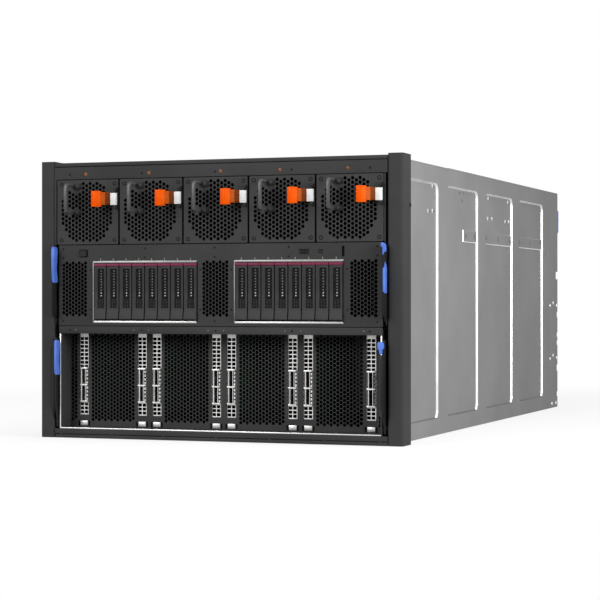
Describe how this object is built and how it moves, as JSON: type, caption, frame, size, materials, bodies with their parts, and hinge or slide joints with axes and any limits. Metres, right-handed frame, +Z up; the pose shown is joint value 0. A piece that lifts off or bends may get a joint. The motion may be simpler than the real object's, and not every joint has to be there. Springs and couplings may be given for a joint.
{
  "type": "gpu server",
  "caption": "Rack-mounted accelerator server with pull-out fan modules, hot-swap drive bays, a network card tray and blue tray levers in a pressed steel case.",
  "frame": {"origin": "middle of the bounding box in plan, on the underside of the case", "axes": "+X to the right seen from the front, +Y from the front to the rear, +Z up"},
  "size_m": [0.4826, 0.96, 0.351],
  "materials": {
    "front_paint": "satin powder coat",
    "zinc_sheet": "galvanised sheet",
    "bright_steel": "bright stamped sheet",
    "latch_orange": "smooth moulding",
    "lever_blue": "satin moulding on a dark arm",
    "drive_dark": "fine moulding texture",
    "rotor_black": "satin moulding",
    "board_green": "solder mask",
    "supply_steel": "plated sheet",
    "sink_metal": "bare fins",
    "button_black": "smooth moulding"
  },
  "bodies": {
    "chassis": {"chassis_base": "zinc_sheet", "left_wall": "zinc_sheet", "right_wall": "zinc_sheet", "top_cover": "zinc_sheet", "bay_decks": "zinc_sheet", "front_trim": "front_paint", "rack_ear_left": "front_paint", "rack_ear_right": "front_paint", "midplane": "board_green", "gpu_modules": "sink_metal", "power_supplies": "supply_steel", "rear_fans": "rotor_black", "rear_panel": "zinc_sheet"},
    "compute_tray": {"compute_pan": "zinc_sheet", "compute_front_panel": "front_paint", "compute_vents": "front_paint", "drive_cages": "bright_steel", "compute_board": "board_green"},
    "gpu_tray": {"gpu_pan": "zinc_sheet", "card_bulkhead": "front_paint", "card_brackets": "bright_steel", "port_cages": "bright_steel"},
    "fan_1": {"fan_1_housing": "front_paint"},
    "fan_1_wheel": {"fan_1_rotor": "rotor_black"},
    "fan_1_catch": {"fan_1_latch": "latch_orange"},
    "fan_2": {"fan_2_housing": "front_paint"},
    "fan_2_wheel": {"fan_2_rotor": "rotor_black"},
    "fan_2_catch": {"fan_2_latch": "latch_orange"},
    "fan_3": {"fan_3_housing": "front_paint"},
    "fan_3_wheel": {"fan_3_rotor": "rotor_black"},
    "fan_3_catch": {"fan_3_latch": "latch_orange"},
    "fan_4": {"fan_4_housing": "front_paint"},
    "fan_4_wheel": {"fan_4_rotor": "rotor_black"},
    "fan_4_catch": {"fan_4_latch": "latch_orange"},
    "fan_5": {"fan_5_housing": "front_paint"},
    "fan_5_wheel": {"fan_5_rotor": "rotor_black"},
    "fan_5_catch": {"fan_5_latch": "latch_orange"},
    "compute_left_arm": {"compute_lever_left": "lever_blue"},
    "gpu_left_arm": {"gpu_lever_left": "lever_blue"},
    "rear_left_arm": {"rear_lever_left": "lever_blue"},
    "compute_right_arm": {"compute_lever_right": "lever_blue"},
    "gpu_right_arm": {"gpu_lever_right": "lever_blue"},
    "rear_right_arm": {"rear_lever_right": "lever_blue"},
    "power_key": {"power_button": "button_black"},
    "drive_01_sled": {"drive_01": "drive_dark"},
    "drive_02_sled": {"drive_02": "drive_dark"},
    "drive_03_sled": {"drive_03": "drive_dark"},
    "drive_04_sled": {"drive_04": "drive_dark"},
    "drive_05_sled": {"drive_05": "drive_dark"},
    "drive_06_sled": {"drive_06": "drive_dark"},
    "drive_07_sled": {"drive_07": "drive_dark"},
    "drive_08_sled": {"drive_08": "drive_dark"},
    "drive_09_sled": {"drive_09": "drive_dark"},
    "drive_10_sled": {"drive_10": "drive_dark"},
    "drive_11_sled": {"drive_11": "drive_dark"},
    "drive_12_sled": {"drive_12": "drive_dark"},
    "drive_13_sled": {"drive_13": "drive_dark"},
    "drive_14_sled": {"drive_14": "drive_dark"},
    "drive_15_sled": {"drive_15": "drive_dark"},
    "drive_16_sled": {"drive_16": "drive_dark"}
  },
  "joints": [
    {"name": "fan_1_slide", "type": "slide", "parent": "chassis", "child": "fan_1", "axis": [0, -1, 0], "range_m": [0, 0.11]},
    {"name": "fan_1_spin", "type": "hinge", "parent": "fan_1", "child": "fan_1_wheel", "pos_m": [-0.17556, -0.394, 0.28615], "axis": [0, 1, 0], "continuous": true},
    {"name": "fan_1_latch_turn", "type": "hinge", "parent": "fan_1", "child": "fan_1_catch", "pos_m": [-0.13532, -0.4602, 0.3028], "axis": [0, 0, 1], "range_deg": [0, 30], "stiffness_Nm_per_rad": 0.08},
    {"name": "fan_2_slide", "type": "slide", "parent": "chassis", "child": "fan_2", "axis": [0, -1, 0], "range_m": [0, 0.11]},
    {"name": "fan_2_spin", "type": "hinge", "parent": "fan_2", "child": "fan_2_wheel", "pos_m": [-0.08808, -0.394, 0.28615], "axis": [0, 1, 0], "continuous": true},
    {"name": "fan_2_latch_turn", "type": "hinge", "parent": "fan_2", "child": "fan_2_catch", "pos_m": [-0.04784, -0.4602, 0.3028], "axis": [0, 0, 1], "range_deg": [0, 30], "stiffness_Nm_per_rad": 0.08},
    {"name": "fan_3_slide", "type": "slide", "parent": "chassis", "child": "fan_3", "axis": [0, -1, 0], "range_m": [0, 0.11]},
    {"name": "fan_3_spin", "type": "hinge", "parent": "fan_3", "child": "fan_3_wheel", "pos_m": [-0.0006, -0.394, 0.28615], "axis": [0, 1, 0], "continuous": true},
    {"name": "fan_3_latch_turn", "type": "hinge", "parent": "fan_3", "child": "fan_3_catch", "pos_m": [0.03964, -0.4602, 0.3028], "axis": [0, 0, 1], "range_deg": [0, 30], "stiffness_Nm_per_rad": 0.08},
    {"name": "fan_4_slide", "type": "slide", "parent": "chassis", "child": "fan_4", "axis": [0, -1, 0], "range_m": [0, 0.11]},
    {"name": "fan_4_spin", "type": "hinge", "parent": "fan_4", "child": "fan_4_wheel", "pos_m": [0.08688, -0.394, 0.28615], "axis": [0, 1, 0], "continuous": true},
    {"name": "fan_4_latch_turn", "type": "hinge", "parent": "fan_4", "child": "fan_4_catch", "pos_m": [0.12712, -0.4602, 0.3028], "axis": [0, 0, 1], "range_deg": [0, 30], "stiffness_Nm_per_rad": 0.08},
    {"name": "fan_5_slide", "type": "slide", "parent": "chassis", "child": "fan_5", "axis": [0, -1, 0], "range_m": [0, 0.11]},
    {"name": "fan_5_spin", "type": "hinge", "parent": "fan_5", "child": "fan_5_wheel", "pos_m": [0.17436, -0.394, 0.28615], "axis": [0, 1, 0], "continuous": true},
    {"name": "fan_5_latch_turn", "type": "hinge", "parent": "fan_5", "child": "fan_5_catch", "pos_m": [0.2146, -0.4602, 0.3028], "axis": [0, 0, 1], "range_deg": [0, 30], "stiffness_Nm_per_rad": 0.08},
    {"name": "compute_tray_slide", "type": "slide", "parent": "chassis", "child": "compute_tray", "axis": [0, -1, 0], "range_m": [0, 0.3]},
    {"name": "gpu_tray_slide", "type": "slide", "parent": "chassis", "child": "gpu_tray", "axis": [0, -1, 0], "range_m": [0, 0.3]},
    {"name": "compute_lever_left_turn", "type": "hinge", "parent": "compute_tray", "child": "compute_left_arm", "pos_m": [-0.219, -0.451, 0.1509], "axis": [1, 0, 0], "range_deg": [0, 75]},
    {"name": "gpu_lever_left_turn", "type": "hinge", "parent": "gpu_tray", "child": "gpu_left_arm", "pos_m": [-0.219, -0.451, 0.0201], "axis": [1, 0, 0], "range_deg": [0, 75]},
    {"name": "rear_lever_left_turn", "type": "hinge", "parent": "chassis", "child": "rear_left_arm", "pos_m": [-0.214, 0.467, 0.2816], "axis": [-1, 0, 0], "range_deg": [0, 65]},
    {"name": "compute_lever_right_turn", "type": "hinge", "parent": "compute_tray", "child": "compute_right_arm", "pos_m": [0.219, -0.451, 0.1509], "axis": [1, 0, 0], "range_deg": [0, 75]},
    {"name": "gpu_lever_right_turn", "type": "hinge", "parent": "gpu_tray", "child": "gpu_right_arm", "pos_m": [0.219, -0.451, 0.0201], "axis": [1, 0, 0], "range_deg": [0, 75]},
    {"name": "rear_lever_right_turn", "type": "hinge", "parent": "chassis", "child": "rear_right_arm", "pos_m": [0.214, 0.467, 0.2816], "axis": [-1, 0, 0], "range_deg": [0, 65]},
    {"name": "power_button_press", "type": "slide", "parent": "compute_tray", "child": "power_key", "axis": [0, 1, 0], "range_m": [0, 0.0012], "stiffness_N_per_m": 400, "springref_m": -0.0005},
    {"name": "drive_01_slide", "type": "slide", "parent": "compute_tray", "child": "drive_01_sled", "axis": [0, -1, 0], "range_m": [0, 0.115]},
    {"name": "drive_02_slide", "type": "slide", "parent": "compute_tray", "child": "drive_02_sled", "axis": [0, -1, 0], "range_m": [0, 0.115]},
    {"name": "drive_03_slide", "type": "slide", "parent": "compute_tray", "child": "drive_03_sled", "axis": [0, -1, 0], "range_m": [0, 0.115]},
    {"name": "drive_04_slide", "type": "slide", "parent": "compute_tray", "child": "drive_04_sled", "axis": [0, -1, 0], "range_m": [0, 0.115]},
    {"name": "drive_05_slide", "type": "slide", "parent": "compute_tray", "child": "drive_05_sled", "axis": [0, -1, 0], "range_m": [0, 0.115]},
    {"name": "drive_06_slide", "type": "slide", "parent": "compute_tray", "child": "drive_06_sled", "axis": [0, -1, 0], "range_m": [0, 0.115]},
    {"name": "drive_07_slide", "type": "slide", "parent": "compute_tray", "child": "drive_07_sled", "axis": [0, -1, 0], "range_m": [0, 0.115]},
    {"name": "drive_08_slide", "type": "slide", "parent": "compute_tray", "child": "drive_08_sled", "axis": [0, -1, 0], "range_m": [0, 0.115]},
    {"name": "drive_09_slide", "type": "slide", "parent": "compute_tray", "child": "drive_09_sled", "axis": [0, -1, 0], "range_m": [0, 0.115]},
    {"name": "drive_10_slide", "type": "slide", "parent": "compute_tray", "child": "drive_10_sled", "axis": [0, -1, 0], "range_m": [0, 0.115]},
    {"name": "drive_11_slide", "type": "slide", "parent": "compute_tray", "child": "drive_11_sled", "axis": [0, -1, 0], "range_m": [0, 0.115]},
    {"name": "drive_12_slide", "type": "slide", "parent": "compute_tray", "child": "drive_12_sled", "axis": [0, -1, 0], "range_m": [0, 0.115]},
    {"name": "drive_13_slide", "type": "slide", "parent": "compute_tray", "child": "drive_13_sled", "axis": [0, -1, 0], "range_m": [0, 0.115]},
    {"name": "drive_14_slide", "type": "slide", "parent": "compute_tray", "child": "drive_14_sled", "axis": [0, -1, 0], "range_m": [0, 0.115]},
    {"name": "drive_15_slide", "type": "slide", "parent": "compute_tray", "child": "drive_15_sled", "axis": [0, -1, 0], "range_m": [0, 0.115]},
    {"name": "drive_16_slide", "type": "slide", "parent": "compute_tray", "child": "drive_16_sled", "axis": [0, -1, 0], "range_m": [0, 0.115]}
  ]
}
